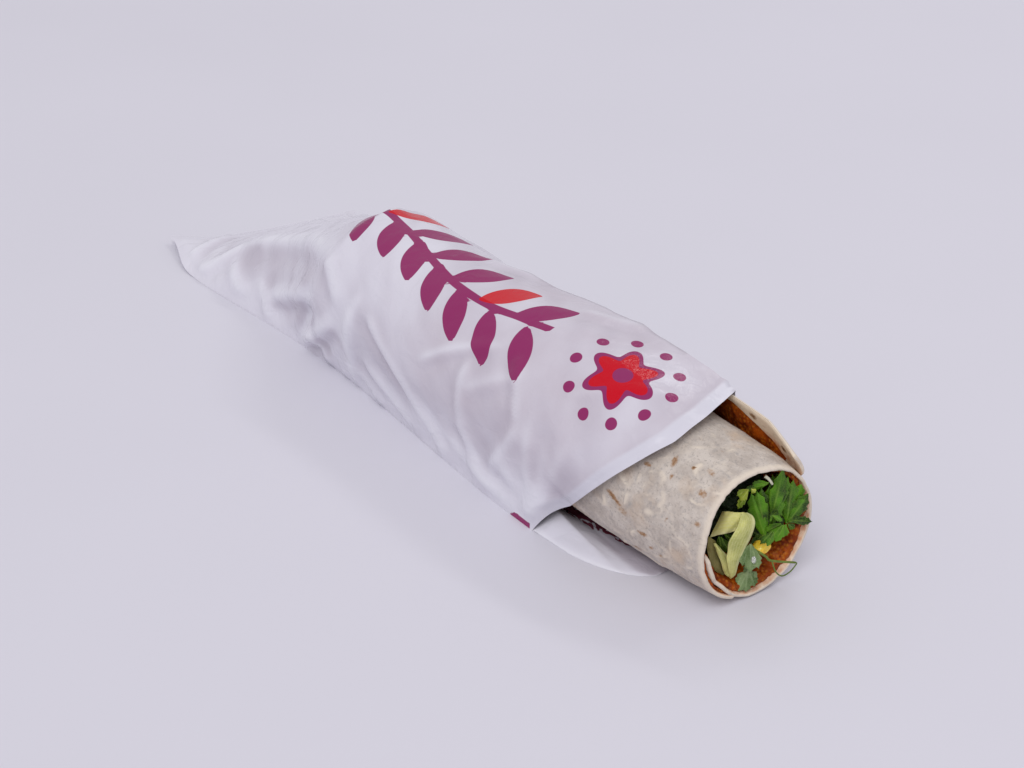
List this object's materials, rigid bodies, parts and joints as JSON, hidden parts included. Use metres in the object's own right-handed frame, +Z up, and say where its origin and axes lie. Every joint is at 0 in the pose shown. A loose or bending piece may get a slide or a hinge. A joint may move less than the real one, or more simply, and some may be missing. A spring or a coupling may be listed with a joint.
{
  "type": "filled flatbread wrap",
  "caption": "Rolled flatbread wrap spread with kofte paste and filled with parsley and lettuce, lying half pulled out of a thin printed plastic bag.",
  "frame": {"origin": "middle of the footprint, on the surface that the bag lies on", "axes": "+X along the roll towards its open end, +Y to the side away from the bag's slit fold, +Z up"},
  "size_m": [0.4079, 0.111, 0.0675],
  "materials": {
    "flatbread": "baked wheat flatbread, pale and dry, with toasted spots",
    "kofte": "red-brown bulgur paste, grainy and a little oily",
    "salad": "fresh parsley and lettuce leaves, softly glossy",
    "corn_kernel": "cooked sweetcorn, glossy",
    "bag": "thin milky polyethylene film with a purple and red print"
  },
  "bodies": {
    "root": {"flatbread": "flatbread", "kofte": "kofte", "salad": "salad", "corn_kernel": "corn_kernel", "bag": "bag"}
  },
  "joints": []
}
